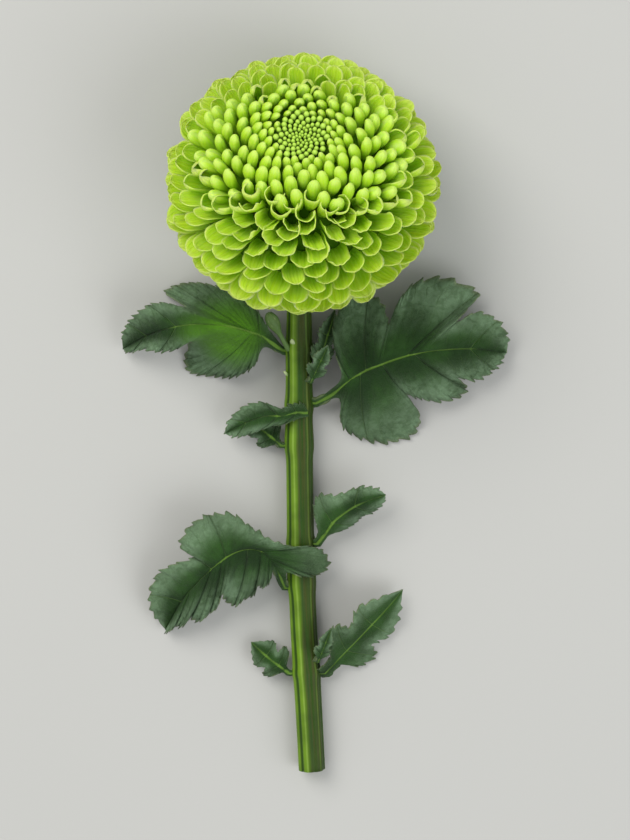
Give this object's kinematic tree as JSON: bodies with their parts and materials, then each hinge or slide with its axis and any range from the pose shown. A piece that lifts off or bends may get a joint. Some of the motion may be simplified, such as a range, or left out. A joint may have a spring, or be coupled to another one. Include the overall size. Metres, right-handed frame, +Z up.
{
  "type": "pompon chrysanthemum",
  "caption": "Cut pompon chrysanthemum lying down: a round head of green cupped florets on a ribbed stem with lobed, toothed leaves.",
  "frame": {"origin": "middle of the bounding box's bottom face, on the surface that the flower lies on", "axes": "+Z up from the table; +Y along the stem from its cut end to the bloom; +X to the right as seen from above"},
  "size_m": [0.1004, 0.1874, 0.0572],
  "materials": {
    "petal": "soft satin, yellow-green with paler floret edges",
    "bract": "matt green, finely hairy",
    "stem": "satin green, lighter along the ribs",
    "leaf": "dark green with a grey, hairy bloom and pale veins"
  },
  "bodies": {
    "root": {"bloom": "petal", "involucre": "bract", "stem": "stem", "axil_bud": "bract", "leaf_upper_right": "leaf", "leaf_upper_left": "leaf", "leaf_lower_left": "leaf", "leaf_over_stem": "leaf", "leaf_right_small": "leaf", "leaf_left_small": "leaf", "leaf_bottom_left": "leaf", "leaf_bottom_right": "leaf", "axil_leaf_1": "leaf", "axil_leaf_2": "leaf", "axil_leaf_3": "leaf"}
  },
  "joints": []
}
